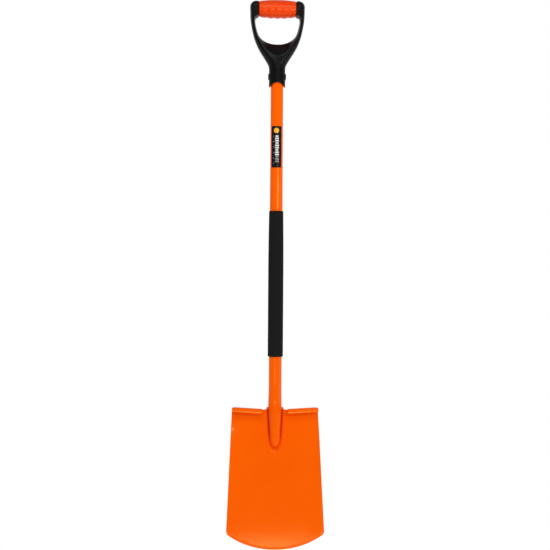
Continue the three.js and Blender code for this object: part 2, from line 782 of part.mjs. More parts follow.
addPart("blade", bladeSheet(), orangePaint);
addPart("shaft_tube", shaftTube(), orangePaint);
addPart("toe_weld", toeWeld(), orangePaint);
addPart("collar_weld", collarWeld(), orangePaint);
addPart("foam_sleeve", foamSleeve(), blackFoam);
addPart("shaft_label", shaftLabel(), labelFilm);
addPart("handle_frame", handleFrame(), blackPlastic);
addPart("handle_grip", gripSleeve(), softGrip);
addPart("handle_bolt", handleBolt(), blackSteel);
addPart("handle_barrel_nut", barrelNut(), blackSteel);

// The origin lies on the ground line, under the middle of the whole spade.
const box = new THREE.Box3().setFromObject(spade);
spade.position.set(0, -(box.min.y + box.max.y) / 2, -box.min.z);

export default spade;
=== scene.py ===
"""Garden spade: fine meshes, materials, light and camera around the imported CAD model. Metres."""

import math

import bmesh
import bpy
import numpy as np
from mathutils import Matrix, Vector


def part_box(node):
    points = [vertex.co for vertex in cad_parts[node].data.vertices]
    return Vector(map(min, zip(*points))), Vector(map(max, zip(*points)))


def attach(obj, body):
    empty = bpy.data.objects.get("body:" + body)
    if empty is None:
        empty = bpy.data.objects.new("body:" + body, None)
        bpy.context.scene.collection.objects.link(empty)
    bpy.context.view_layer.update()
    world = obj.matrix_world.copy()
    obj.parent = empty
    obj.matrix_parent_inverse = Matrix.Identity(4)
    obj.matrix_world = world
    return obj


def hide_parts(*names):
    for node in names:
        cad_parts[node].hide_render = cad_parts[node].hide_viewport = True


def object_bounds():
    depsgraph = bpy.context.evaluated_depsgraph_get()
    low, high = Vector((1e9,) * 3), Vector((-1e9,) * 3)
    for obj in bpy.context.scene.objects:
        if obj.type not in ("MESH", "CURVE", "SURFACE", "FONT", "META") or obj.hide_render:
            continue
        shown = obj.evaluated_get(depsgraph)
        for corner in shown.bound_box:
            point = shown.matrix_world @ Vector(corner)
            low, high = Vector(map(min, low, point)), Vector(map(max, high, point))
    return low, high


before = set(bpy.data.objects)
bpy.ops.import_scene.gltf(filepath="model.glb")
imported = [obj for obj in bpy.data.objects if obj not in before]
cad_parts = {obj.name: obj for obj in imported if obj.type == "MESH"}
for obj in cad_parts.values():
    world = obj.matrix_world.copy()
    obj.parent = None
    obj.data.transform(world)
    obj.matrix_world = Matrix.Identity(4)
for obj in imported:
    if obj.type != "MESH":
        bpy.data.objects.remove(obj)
cad_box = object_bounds()

# ---------- where things are ----------

# Heights below are counted from the tip of the blade and depths from the shaft's axis.
SLEEVE_BOTTOM = 0.403
sleeve_low, sleeve_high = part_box("foam_sleeve")
ORIGIN = Vector((0.0, (sleeve_low.y + sleeve_high.y) / 2, sleeve_low.z - SLEEVE_BOTTOM))

# Blade.
BLADE_LEAN = math.radians(10.3)
HALF_SHEET = 0.001
BEND_HEIGHT = 0.285
FACE_SETBACK = 0.002
TREAD_HALF_WIDTH = 0.0924
CORNER_HALF_WIDTH = 0.1032
CORNER_HEIGHT = 0.034
DISH_DEPTH = 0.009
DISH_AT_TREADS = 0.3
DISH_RUN = 0.060
CORNER_ROUND = 0.0045
EDGE_BEVEL_WIDTH = 0.0030
EDGE_BEVEL_DEPTH = 0.0009
EDGE_BEVEL_TOP = 0.150
EDGE_BEVEL_FADE = 0.05
RIM_ROUND = 0.00045
FACE_SAMPLE_ROW = 20

# How the blade's grid is spaced, as shares of its half width and of its height.
BLADE_HALF_COLUMNS = 56
BLADE_ROWS = 96
COLUMN_CROWDING = 1.55
ROW_CROWDING = 1.2
FACE_SHARE = 0.985
TIP_SHARES = (0.99, 0.9935, 0.997, 1.0)
BEVEL_SHARES = (0.75, 0.5, 0.25, 0.0)

# Treads.
TREAD_START_HEIGHT = 0.2885
TREAD_FALL = 4 / 62
TREAD_BEND_RADIUS = 0.005
TREAD_FLAT = 0.005
TREAD_LIP = 0.004
TREAD_BLEND_FROM = 0.022
TREAD_BLEND_TO = 0.028
TREAD_LIP_CORNER = 0.0030
TREAD_CORNER_DROOP = 0.0014
TREAD_DROOP_SHARE = 0.93
TREAD_BEND_STEPS = 10
LIP_STEPS = (0.0, 0.00006, 0.0002, 0.00045, 0.00075, 0.001, 0.0018, 0.003)
LIP_END_SHARE = 0.25
EAR_HEIGHT = 0.2895

# Groove behind the tube.
GROOVE_TOP_HEIGHT = 0.290
GROOVE_END_HEIGHT = 0.199
GROOVE_TOP_RADIUS = 0.0176
GROOVE_END_RADIUS = 0.0126
GROOVE_RIM_RADIUS = 0.0045
GROOVE_RISE = 4.4

# Shaft tube.
TUBE_TOP_HEIGHT = 1.036
TUBE_WALL = 0.0015
TUBE_LEAN = math.radians(12.2)
CRANK_TOP_HEIGHT = 0.350
NOSE_START_HEIGHT = 0.230
NOSE_END_HEIGHT = 0.211
TUBE_TOP_RADIUS = 0.01345
TUBE_NOSE_RADIUS = 0.0105
TUBE_CRANK_RADIUS = 0.0147
TUBE_RADII = (
    (0.210, 0.0105),
    (0.230, 0.0105),
    (0.250, 0.0119),
    (0.270, 0.0134),
    (0.290, 0.0147),
    (0.305, 0.0145),
    (0.320, 0.0141),
    (0.335, 0.0138),
    (0.730, 0.0138),
    (0.826, 0.01345),
    (1.036, 0.01345),
)

TUBE_SIDES = 96
TUBE_BLEND = 0.008
CRANK_MARGIN = 0.01

# Weld beads.
BEAD_RADIUS = 0.0026
BEAD_SIDES = 24
BEAD_STEPS = 140
WELD_POOL = 0.0026
RIPPLE = 0.07
RIPPLE_DROP = 0.03
TOE_GAP = 0.0004
TOE_RISE = 0.001
TOE_FORWARD = 0.0005
COLLAR_GAP = 0.0012
COLLAR_RISE = 0.0022
COLLAR_TURN = (math.radians(-15), math.radians(195))

# Foam sleeve: (height, radius) up its outside.
SLEEVE_OUTSIDE = (
    (0.403, 0.0163),
    (0.600, 0.0163),
    (0.640, 0.0161),
    (0.670, 0.0158),
    (0.715, 0.0152),
)
SLEEVE_BORE = 0.01395
SLEEVE_TOP = 0.715
SLEEVE_EDGE = 0.0020
SLEEVE_EDGE_STEPS = 8
SLEEVE_DRAW_BOTTOM = 0.6
SLEEVE_DRAW_TOP = 0.5
SLEEVE_ROWS = (0.409, 0.711, 80)
SLEEVE_BLEND = 0.012
SLEEVE_BORE_DROP = 0.0003

# Label.
LABEL_TOP = 0.896
LABEL_BOTTOM = 0.8075
LABEL_HALF_WIDTH = 0.0116
LABEL_SIDE = -0.0011
LABEL_CORNER = 0.0022
LABEL_LIFT = 0.0002
PRINT_LIFT = 0.0003
FILM_OUT = 0.00015
FILM_IN = 0.0001
MIN_HALF_WIDTH = 0.00001
PATCH_COLUMNS = 21
PATCH_STEPS = 24
MARK_STEPS = 10
BASE_STEPS = 60
DISC_HEIGHT = 0.8865
DISC_RADIUS = 0.0056
BLOCK_TOP = 0.876
BLOCK_COUNT = 12
PALE_BLOCKS = 9
BLOCK_HEIGHT = 0.0034
BLOCK_PITCH = 0.0049
BLOCK_HALF_WIDTH = 0.0040
NARROW_HALF_WIDTH = 0.0030
BLOCK_CORNER = 0.0006
BLOCK_SIDE = 0.0012
TICK_COUNT = 6
TICK_RADIUS = 0.0011
TICK_TOP = 0.874
TICK_PITCH = 0.0115
TICK_SIDE = -0.0062

# Handle.
GRIP_HEIGHT = 1.1483
GRIP_HALF_LENGTH = 0.0397
GRIP_END_RADIUS = 0.0166
GRIP_RADIUS = 0.0196
FINGER_PITCH = 0.0150
FINGER_DEPTH = 0.0007
FINGER_TURN = math.radians(-115)
GRIP_BORE = 0.0102
GRIP_SIDES = 128
GRIP_RINGS = 161
GRIP_CROWDING = 1.3
BARREL_POWER = 2.2
END_STEP = 0.0005
END_STEP_FROM = 0.955
END_STEP_TO = 0.975
END_ROUND = 0.0009
BOLT_HEIGHT = 1.0028
BOLT_HEAD_RADIUS = 0.0074
BOLT_HEAD_SEAT = 0.0164
BOLT_HEAD_TOP = 0.0192
BOLT_SIDES = 48
SHANK_SHARE = 0.4
SHANK_LENGTH = 0.012
HEAD_CHAMFER = 0.0003
HEAD_SIDE = 0.0012
HEAD_DOME = 0.0034
DOME_POWER = 1.6
HEX_RADIUS = 0.0026
HEX_DEPTH = 0.0018
HANDLE_VOXEL = 0.0009
HANDLE_RELAX = 0.5
HANDLE_RELAX_ROUNDS = 6
WELD_DISTANCE = 0.000001

# Camera.
CAMERA_DISTANCE = 2.5
CAMERA_HEIGHT = 0.5779
CAMERA_TURN = math.radians(2.4)
CAMERA_SIDE = -0.0017
CAMERA_ROLL = math.radians(-0.37)
FRAME_WIDTH = 1.1803
SENSOR_WIDTH = 36.0

# Stage.
STAGE_REACH = 4.0
STAGE_FRONT = -0.9
STAGE_BACK = 2.2
BACKDROP_BOTTOM = -0.5
BACKDROP_TOP = 3.5
SKY_STRENGTH = 0.40

# Lights: name, azimuth, distance, height, width, height of the panel, power, height aimed at.
LIGHTS = (
    ("key_right", 24, 1.2, 0.86, 0.60, 0.14, 4.2, 0.77),
    ("key_left_low", -11, 3.5, 0.02, 1.10, 0.30, 6.5, 0.37),
    ("tread_line", 2.4, 1.2, 0.15, 0.40, 0.03, 1.1, 0.29),
    ("top_right", 11, 2.5, 2.05, 0.90, 0.20, 1.5, 1.15),
    ("top_left", -18, 0.9, 2.00, 0.30, 0.20, 1.2, 1.10),
    ("overhead", 0, 0.75, 1.45, 0.90, 0.30, 3.0, 0.30),
    ("side_left", -82, 1.6, 0.50, 0.8, 1.2, 0.8, 0.50),
    ("side_right", 82, 1.6, 0.50, 0.8, 1.2, 2.4, 0.50),
)


# ---------- mesh helpers ----------

TINY = 1e-12


def smooth_step(start, end, value):
    t = np.clip((value - start) / (end - start), 0.0, 1.0)
    return t * t * (3 - 2 * t)


def mix(a, b, t):
    return a + (b - a) * t


def grid_quads(rows, columns, closed=False, start=0):
    """Faces over a grid of points, row by row. A closed grid joins its last column to its first."""
    faces = []
    last = columns if closed else columns - 1
    for r in range(rows - 1):
        for c in range(last):
            n = (c + 1) % columns
            here, ahead = start + r * columns, start + (r + 1) * columns
            faces.append((here + c, here + n, ahead + n, ahead + c))
    return faces


def joined_ends(rings, sides):
    """Faces that join the last ring to the first, so that a profile closes on itself."""
    last = (rings - 1) * sides
    return [(last + i, last + (i + 1) % sides, (i + 1) % sides, i) for i in range(sides)]


def sheet_faces(rows, columns):
    """Faces of a thin closed sheet: its front grid, then its back grid, joined round their rim."""
    count = rows * columns
    faces = grid_quads(rows, columns)
    faces += [tuple(count + i for i in reversed(f)) for f in faces]
    rim = list(range(columns))
    rim += [r * columns + columns - 1 for r in range(1, rows)]
    rim += [(rows - 1) * columns + c for c in range(columns - 2, -1, -1)]
    rim += [r * columns for r in range(rows - 2, 0, -1)]
    faces += [(a, b, count + b, count + a) for a, b in zip(rim, rim[1:] + rim[:1])]
    return faces


def make_piece(name, points, faces, material, nodes=(), sharp=None):
    """A smooth-shaded mesh piece on the root body. Points are in the tip-and-shaft frame."""
    mesh = bpy.data.meshes.new(name)
    mesh.from_pydata([Vector(p) + ORIGIN for p in points], [], faces)
    mesh.validate()
    shell = bmesh.new()
    shell.from_mesh(mesh)
    bmesh.ops.recalc_face_normals(shell, faces=shell.faces)
    shell.to_mesh(mesh)
    shell.free()
    return finish_piece(name, mesh, material, nodes, sharp)


def finish_piece(name, mesh, material, nodes=(), sharp=None):
    mesh.shade_smooth()
    if sharp is not None:
        mesh.set_sharp_from_angle(angle=math.radians(sharp))
    mesh.materials.clear()
    mesh.materials.append(material)
    piece = bpy.data.objects.new(name, mesh)
    bpy.context.scene.collection.objects.link(piece)
    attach(piece, "root")
    if nodes:
        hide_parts(*nodes)
    return piece


def turned_points(profile, sides, axis="z", height=0.0):
    """Rings of a solid of revolution from (radius, distance along the axis) pairs."""
    points = []
    for radius, along in profile:
        for i in range(sides):
            turn = 2 * math.pi * i / sides
            a, b = radius * math.cos(turn), radius * math.sin(turn)
            points.append((a, b, along) if axis == "z" else (along, a, height + b))
    return points


def swept_points(centres, radii, sides):
    """Rings of round section along a path, each square to it."""
    centres = np.asarray(centres, float)
    tangents = np.gradient(centres, axis=0)
    tangents /= np.linalg.norm(tangents, axis=1)[:, None]
    side = np.cross(tangents[0], (0.0, 1.0, 0.0))
    if np.linalg.norm(side) < 0.1:
        side = np.cross(tangents[0], (1.0, 0.0, 0.0))
    rings = []
    for centre, tangent, radius in zip(centres, tangents, radii):
        side = side - tangent * side.dot(tangent)
        side /= np.linalg.norm(side)
        up = np.cross(side, tangent)
        turn = np.linspace(0, 2 * math.pi, sides, endpoint=False)
        rings.append(centre + radius * (np.cos(turn)[:, None] * side + np.sin(turn)[:, None] * up))
    return np.array(rings)


def relax(mesh, weights, rounds):
    """Moves each point towards the middle of its neighbours, by its weight, some times over."""
    count = len(mesh.vertices)
    co = np.empty(count * 3)
    mesh.vertices.foreach_get("co", co)
    co = co.reshape(-1, 3)
    edges = np.empty(len(mesh.edges) * 2, dtype=np.int64)
    mesh.edges.foreach_get("vertices", edges)
    a, b = edges.reshape(-1, 2).T
    degree = np.bincount(np.concatenate((a, b)), minlength=count)[:, None]
    for _ in range(rounds):
        total = np.zeros_like(co)
        for k in range(3):
            total[:, k] = np.bincount(a, co[b, k], count) + np.bincount(b, co[a, k], count)
        co += weights[:, None] * (total / degree - co)
    mesh.vertices.foreach_set("co", co.ravel())
    mesh.update()


# ---------- material helpers ----------

NOISE_LOW = 0.3
NOISE_HIGH = 0.7
RAMP_ENDS = (0.35, 0.65)


def srgb(hex_code):
    """A linear colour from a hex code such as "F25C0A"."""
    parts = [int(hex_code[i:i + 2], 16) / 255 for i in (0, 2, 4)]
    linear = [p / 12.92 if p <= 0.04045 else ((p + 0.055) / 1.055) ** 2.4 for p in parts]
    return (*linear, 1.0)


class Surface:
    """A Principled material, with short ways to add noise to its colour, roughness and relief."""

    def __init__(self, name, **settings):
        self.material = bpy.data.materials.new(name)
        self.material.use_nodes = True
        self.tree = self.material.node_tree
        self.shader = self.tree.nodes["Principled BSDF"]
        self.place = self.tree.nodes.new("ShaderNodeTexCoord").outputs["Object"]
        self.last_bump = None
        for key, value in settings.items():
            self.shader.inputs[key].default_value = value

    def node(self, kind, **inputs):
        made = self.tree.nodes.new(kind)
        for key, value in inputs.items():
            made.inputs[key].default_value = value
        return made

    def link(self, source, target):
        self.tree.links.new(source, target)

    def noise(self, scale, detail):
        made = self.node("ShaderNodeTexNoise", Scale=scale, Detail=detail)
        self.link(self.place, made.inputs["Vector"])
        return made.outputs["Fac"]

    def cells(self, scale):
        made = self.node("ShaderNodeTexVoronoi", Scale=scale)
        self.link(self.place, made.inputs["Vector"])
        return made.outputs["Distance"]

    def ranged(self, value, low, high):
        made = self.node("ShaderNodeMapRange")
        made.inputs["From Min"].default_value = NOISE_LOW
        made.inputs["From Max"].default_value = NOISE_HIGH
        made.inputs["To Min"].default_value = low
        made.inputs["To Max"].default_value = high
        self.link(value, made.inputs["Value"])
        return made.outputs["Result"]

    def colour(self, value, first, second):
        ramp = self.node("ShaderNodeValToRGB")
        for element, position, code in zip(ramp.color_ramp.elements, RAMP_ENDS, (first, second)):
            element.position = position
            element.color = srgb(code)
        self.link(value, ramp.inputs["Fac"])
        self.link(ramp.outputs["Color"], self.shader.inputs["Base Color"])

    def roughness(self, value, low, high):
        self.link(self.ranged(value, low, high), self.shader.inputs["Roughness"])

    def relief(self, value, depth, strength):
        bump = self.node("ShaderNodeBump", Strength=strength, Distance=depth)
        self.link(value, bump.inputs["Height"])
        if self.last_bump is not None:
            self.link(self.last_bump, bump.inputs["Normal"])
        self.last_bump = bump.outputs["Normal"]
        self.link(self.last_bump, self.shader.inputs["Normal"])


def orange_powder_coat():
    paint = Surface("orange_powder_coat", IOR=1.5)
    paint.shader.inputs["Specular IOR Level"].default_value = 0.22
    paint.shader.inputs["Specular Tint"].default_value = (1.0, 0.60, 0.18, 1.0)
    paint.colour(paint.noise(9, 2), "F75C00", "FA5F00")
    paint.roughness(paint.noise(60, 4), 0.10, 0.13)
    paint.relief(paint.noise(420, 2), 0.00006, 0.20)
    return paint.material


def black_foam():
    foam = Surface("black_foam", IOR=1.4)
    foam.shader.inputs["Specular IOR Level"].default_value = 0.12
    foam.colour(foam.noise(900, 3), "151515", "1B1B1B")
    foam.roughness(foam.noise(300, 2), 0.8, 0.95)
    foam.relief(foam.cells(1100), 0.00025, 0.6)
    foam.relief(foam.noise(260, 3), 0.0003, 0.3)
    return foam.material


def black_plastic():
    plastic = Surface("black_plastic", IOR=1.49)
    plastic.shader.inputs["Specular IOR Level"].default_value = 0.12
    plastic.colour(plastic.noise(40, 3), "050505", "080808")
    plastic.roughness(plastic.noise(120, 3), 0.26, 0.32)
    plastic.relief(plastic.noise(900, 2), 0.00002, 0.1)
    return plastic.material


def orange_rubber():
    rubber = Surface("orange_rubber", IOR=1.45)
    rubber.shader.inputs["Specular IOR Level"].default_value = 0.45
    rubber.shader.inputs["Specular Tint"].default_value = (1.0, 0.62, 0.35, 1.0)
    rubber.colour(rubber.noise(30, 3), "E63C00", "EA4002")
    rubber.roughness(rubber.noise(150, 3), 0.24, 0.32)
    rubber.relief(rubber.noise(900, 2), 0.00002, 0.05)
    return rubber.material


def label_film():
    film = Surface("label_film", IOR=1.5)
    film.shader.inputs["Specular IOR Level"].default_value = 0.15
    film.colour(film.noise(50, 2), "0A0A0A", "0E0E0E")
    film.roughness(film.noise(80, 2), 0.30, 0.38)
    film.relief(film.noise(500, 2), 0.00003, 0.3)
    return film.material


def print_ink(name, dark, light):
    ink = Surface(name, IOR=1.5)
    ink.colour(ink.noise(600, 2), dark, light)
    ink.roughness(ink.noise(200, 2), 0.35, 0.45)
    return ink.material


def black_steel():
    steel = Surface("black_steel", Metallic=0.6)
    steel.colour(steel.noise(200, 3), "151517", "222326")
    steel.roughness(steel.noise(500, 3), 0.32, 0.45)
    steel.relief(steel.noise(900, 2), 0.00004, 0.4)
    return steel.material


# ---------- blade ----------

def blade_half_width(z):
    share = (TREAD_START_HEIGHT - z) / (TREAD_START_HEIGHT - CORNER_HEIGHT)
    return mix(TREAD_HALF_WIDTH, CORNER_HALF_WIDTH, share)


def bottom_height(x):
    radius = (CORNER_HALF_WIDTH ** 2 + CORNER_HEIGHT ** 2) / (2 * CORNER_HEIGHT)
    return radius - np.sqrt(radius ** 2 - x ** 2)


def groove_depth(x, z):
    """How far the sheet is pressed back to take the tube, with a rounded rim on each side."""
    p = np.clip((GROOVE_TOP_HEIGHT - z) / (GROOVE_TOP_HEIGHT - GROOVE_END_HEIGHT), 0, 1)
    radius = mix(GROOVE_TOP_RADIUS, GROOVE_END_RADIUS, p)
    lift = radius * p ** GROOVE_RISE
    reach = radius + GROOVE_RIM_RADIUS
    rim = np.sqrt(np.maximum(reach ** 2 - (GROOVE_RIM_RADIUS + lift) ** 2, 0))
    x = np.abs(x)
    rounded = GROOVE_RIM_RADIUS - np.sqrt(np.maximum(GROOVE_RIM_RADIUS ** 2 - (rim - x) ** 2, 0))
    hollow = np.sqrt(np.maximum(radius ** 2 - x ** 2, 0)) - lift
    inside = np.where(x > rim * radius / reach, rounded, hollow)
    return np.where(x >= rim, 0.0, inside)


def face_depth(x, z):
    plane = FACE_SETBACK - (BEND_HEIGHT - z) * math.tan(BLADE_LEAN)
    ramp = mix(DISH_AT_TREADS, 1, smooth_step(0, DISH_RUN, BEND_HEIGHT - z))
    return plane - DISH_DEPTH * ramp * (x / CORNER_HALF_WIDTH) ** 2 + groove_depth(x, z)


def tread_start(x):
    return TREAD_START_HEIGHT - TREAD_FALL * (TREAD_HALF_WIDTH - np.abs(x))


def tread_profile():
    """(forward, up, distance from the lip's end) along the bent edge, from the lip to the blade."""
    r, start, reach = TREAD_BEND_RADIUS, math.sin(BLADE_LEAN), math.cos(BLADE_LEAN)
    lip_x, lip_z = r * (reach + 1) + TREAD_FLAT, r * start - TREAD_LIP
    outer_bend = np.linspace(math.pi, math.pi / 2, TREAD_BEND_STEPS)
    inner_bend = np.linspace(math.pi / 2, -BLADE_LEAN, TREAD_BEND_STEPS, endpoint=False)

    def on_bend(turn, flat):
        return r * (reach - math.cos(turn)) + flat, r * (math.sin(turn) + start), TREAD_LIP

    profile = [(lip_x, lip_z + step, step) for step in LIP_STEPS]
    profile += [on_bend(turn, TREAD_FLAT) for turn in outer_bend]
    profile.append((r * reach + TREAD_FLAT / 2, r * (1 + start), TREAD_LIP))
    profile += [on_bend(turn, 0) for turn in inner_bend]
    return profile


def round_corner(side_gap, end_gap, radius):
    """How far a point near a corner moves in, so that the corner follows a round of that radius."""
    a, b = np.maximum(radius - side_gap, 0), np.maximum(radius - end_gap, 0)
    length = np.maximum(np.hypot(a, b), TINY)
    shrink = np.where((a > 0) & (b > 0) & (length > radius), 1 - radius / length, 0)
    return a * shrink, b * shrink


def blade_shares():
    """The blade's columns as shares of its half width, with one band of them for the edge bevel."""
    bevel = EDGE_BEVEL_WIDTH / TREAD_HALF_WIDTH
    inner = np.linspace(0, 1, BLADE_HALF_COLUMNS) ** COLUMN_CROWDING * (1 - bevel)
    half = np.concatenate((inner, 1 - bevel * np.array(BEVEL_SHARES)))
    return np.concatenate((-half[:0:-1], half))


def tread_rows(shares):
    """Rows of points along the treads, from the lip to the blade, and the sheet's half thickness."""
    profile = tread_profile()
    crown = max(up for _, up, _ in profile)
    x = shares * TREAD_HALF_WIDTH
    side_gap = TREAD_HALF_WIDTH - np.abs(x)
    start = tread_start(x)
    start_y = face_depth(x, start)
    amount = smooth_step(TREAD_BLEND_FROM, TREAD_BLEND_TO, np.abs(x))
    droop = TREAD_CORNER_DROOP * smooth_step(TREAD_DROOP_SHARE, 1.0, np.abs(shares))
    rows, half_thickness = [], []
    for index, (forward, up, from_end) in enumerate(profile):
        height = mix(EAR_HEIGHT, start, index / len(profile))
        y = mix(face_depth(x, height), start_y - forward, amount)
        z = mix(height, start + up, amount)
        inwards, upwards = round_corner(side_gap, np.full_like(x, from_end), TREAD_LIP_CORNER)
        lowered = droop * max(up, 0) / crown
        rows.append(np.stack((x - np.sign(x) * inwards, y, z + upwards - lowered), 1))
        short = 1 - min(from_end / HALF_SHEET, 1)
        half_thickness.append(HALF_SHEET * max(math.sqrt(1 - short ** 2), LIP_END_SHARE))
    return rows, half_thickness


def face_rows(shares):
    """Rows of points down the blade's face, from the treads to its curved lower edge."""
    start = tread_start(shares * TREAD_HALF_WIDTH)
    bottom = bottom_height(shares * CORNER_HALF_WIDTH)
    down = np.linspace(0, 1, BLADE_ROWS) ** ROW_CROWDING * FACE_SHARE
    rows = []
    for share in np.concatenate((down, TIP_SHARES)):
        z = mix(start, bottom, share)
        half_width = blade_half_width(z)
        x = shares * half_width
        inwards, upwards = round_corner(half_width - np.abs(x), z - bottom, CORNER_ROUND)
        x, z = x - np.sign(x) * inwards, z + upwards
        rows.append(np.stack((x, face_depth(x, z), z), 1))
    return rows


def sheet_normals(grid):
    """Unit normals over a grid of points, all turned towards the back of the blade."""
    normal = np.cross(np.gradient(grid, axis=1), np.gradient(grid, axis=0))
    normal /= np.maximum(np.linalg.norm(normal, axis=2), TINY)[:, :, None]
    towards_back = np.sign(normal[-FACE_SAMPLE_ROW, grid.shape[1] // 4, 1])
    return normal * towards_back


def edge_chamfer(grid):
    """How far the front face falls back along the blade's lower edges."""
    x, z = grid[:, :, 0], grid[:, :, 2]
    side_gap = blade_half_width(z) - np.abs(x)
    end_gap = z - bottom_height(np.clip(x, -CORNER_HALF_WIDTH, CORNER_HALF_WIDTH))
    gap = np.clip(np.minimum(side_gap, end_gap), 0, EDGE_BEVEL_WIDTH)
    fade = smooth_step(EDGE_BEVEL_TOP, EDGE_BEVEL_TOP - EDGE_BEVEL_FADE, z)
    return EDGE_BEVEL_DEPTH * fade * (1 - gap / EDGE_BEVEL_WIDTH)


def blade_shell(paint):
    shares = blade_shares()
    treads, half_thickness = tread_rows(shares)
    face = face_rows(shares)
    half_thickness += [HALF_SHEET] * len(face)
    grid = np.array(treads + face)
    half = np.array(half_thickness)[:, None]
    normal = sheet_normals(grid)
    front = grid - normal * (half - edge_chamfer(grid))[:, :, None]
    back = grid + normal * half[:, :, None]
    points = np.concatenate((front.reshape(-1, 3), back.reshape(-1, 3)))
    faces = sheet_faces(*grid.shape[:2])
    blade = make_piece("blade_shell", points, faces, paint, ("blade",))
    rounding = blade.modifiers.new("rim_round", "BEVEL")
    rounding.limit_method = "ANGLE"
    rounding.angle_limit = math.radians(50)
    rounding.width = RIM_ROUND
    rounding.segments = 3
    rounding.use_clamp_overlap = True
    return blade


# ---------- shaft ----------

def tube_centre(z):
    """The tube's centre line: straight, set back through the crank, then leaning in the groove."""
    z = np.asarray(z, float)
    slope = math.tan(TUBE_LEAN)
    run = CRANK_TOP_HEIGHT - BEND_HEIGHT
    s = np.clip((z - BEND_HEIGHT) / run, 0, 1)
    crank = FACE_SETBACK * (1 - 3 * s ** 2 + 2 * s ** 3) + slope * run * (s - 2 * s ** 2 + s ** 3)
    y = np.where(z <= BEND_HEIGHT, FACE_SETBACK - (BEND_HEIGHT - z) * slope, crank)
    return np.stack((np.zeros_like(y), y, z), -1)


def tube_radius(z):
    heights, radii = zip(*TUBE_RADII)
    shifts = np.linspace(-TUBE_BLEND, TUBE_BLEND, 9)
    return np.mean([np.interp(z + s, heights, radii) for s in shifts], axis=0)


def shaft_piece(paint):
    """The hollow tube, open at the top and closed by a round nose at the bottom."""
    z = np.concatenate((
        np.linspace(TUBE_TOP_HEIGHT, CRANK_TOP_HEIGHT + CRANK_MARGIN, 50, endpoint=False),
        np.linspace(CRANK_TOP_HEIGHT + CRANK_MARGIN, NOSE_START_HEIGHT, 60),
    ))
    turn = np.linspace(0, math.pi / 2, 18)[1:-1]
    nose_z = NOSE_START_HEIGHT - (NOSE_START_HEIGHT - NOSE_END_HEIGHT) * np.sin(turn)
    nose_radius = tube_radius(NOSE_START_HEIGHT) * np.cos(turn)
    outer_centres = tube_centre(np.concatenate((z, nose_z)))
    outer_radii = np.concatenate((tube_radius(z), nose_radius))
    outer = swept_points(outer_centres, outer_radii, TUBE_SIDES)
    inner = swept_points(tube_centre(z), tube_radius(z) - TUBE_WALL, TUBE_SIDES)
    rings = np.concatenate((inner[::-1], outer))
    points = rings.reshape(-1, 3).tolist()
    faces = grid_quads(len(rings), TUBE_SIDES, closed=True)
    faces.append(tuple(range(TUBE_SIDES)))
    last = (len(rings) - 1) * TUBE_SIDES
    tip = len(points)
    points.append(tube_centre(NOSE_END_HEIGHT).tolist())
    faces += [(last + i, last + (i + 1) % TUBE_SIDES, tip) for i in range(TUBE_SIDES)]
    return make_piece("shaft_fine", points, faces, paint, ("shaft_tube",), sharp=50)


def weld_bead(name, path, paint, node):
    """A bead with the ripples of a hand weld: its radius swells at each pool."""
    path = np.asarray(path, float)
    length = np.concatenate(([0], np.cumsum(np.linalg.norm(np.diff(path, axis=0), axis=1))))
    along = np.linspace(0, length[-1], BEAD_STEPS)
    centres = np.stack([np.interp(along, length, path[:, k]) for k in range(3)], 1)
    ripple = 1 + RIPPLE * np.abs(np.cos(math.pi * along / WELD_POOL)) - RIPPLE_DROP
    end = np.sqrt(np.clip(np.minimum(along, length[-1] - along) / BEAD_RADIUS, 0.02, 1))
    rings = swept_points(centres, BEAD_RADIUS * ripple * end, BEAD_SIDES)
    points = rings.reshape(-1, 3).tolist()
    faces = grid_quads(len(rings), BEAD_SIDES, closed=True)
    faces.append(tuple(range(BEAD_SIDES)))
    faces.append(tuple(range((len(rings) - 1) * BEAD_SIDES, len(rings) * BEAD_SIDES)))
    return make_piece(name, points, faces, paint, (node,))


def toe_weld(paint):
    turn = np.linspace(0, math.pi, 60)
    x = (TUBE_NOSE_RADIUS + TOE_GAP) * np.cos(turn)
    z = NOSE_START_HEIGHT + TOE_RISE - (NOSE_START_HEIGHT - NOSE_END_HEIGHT) * np.sin(turn)
    y = face_depth(x, z) - TOE_FORWARD
    return weld_bead("toe_weld_bead", np.stack((x, y, z), 1), paint, "toe_weld")


def collar_weld(paint):
    turn = np.linspace(*COLLAR_TURN, 80)
    reach = TUBE_CRANK_RADIUS + COLLAR_GAP
    centre = tube_centre(EAR_HEIGHT)
    points = np.stack((
        reach * np.cos(turn),
        centre[1] + reach * np.sin(turn),
        np.full_like(turn, EAR_HEIGHT + COLLAR_RISE),
    ), 1)
    return weld_bead("collar_weld_bead", points, paint, "collar_weld")


# ---------- sleeve and label ----------

def sleeve_profile():
    """(radius, height) pairs from the bore's lower end, up the outside, to the bore's upper end."""
    heights, radii = zip(*SLEEVE_OUTSIDE)
    turns = [math.pi / 2 * i / SLEEVE_EDGE_STEPS for i in range(SLEEVE_EDGE_STEPS + 1)]
    profile = [(SLEEVE_BORE, SLEEVE_BOTTOM)]
    for turn in turns:
        profile.append((
            radii[0] - SLEEVE_EDGE * (1 - math.sin(turn)) * SLEEVE_DRAW_BOTTOM,
            SLEEVE_BOTTOM + SLEEVE_EDGE * (1 - math.cos(turn)),
        ))
    shifts = np.linspace(-SLEEVE_BLEND, SLEEVE_BLEND, 7)
    for z in np.linspace(*SLEEVE_ROWS):
        smooth = float(np.mean([np.interp(z + s, heights, radii) for s in shifts]))
        profile.append((smooth, float(z)))
    for turn in turns:
        profile.append((
            radii[-1] - SLEEVE_EDGE * (1 - math.cos(turn)) * SLEEVE_DRAW_TOP,
            SLEEVE_TOP - SLEEVE_EDGE * (1 - math.sin(turn)),
        ))
    profile.append((SLEEVE_BORE, SLEEVE_TOP - SLEEVE_BORE_DROP))
    return profile


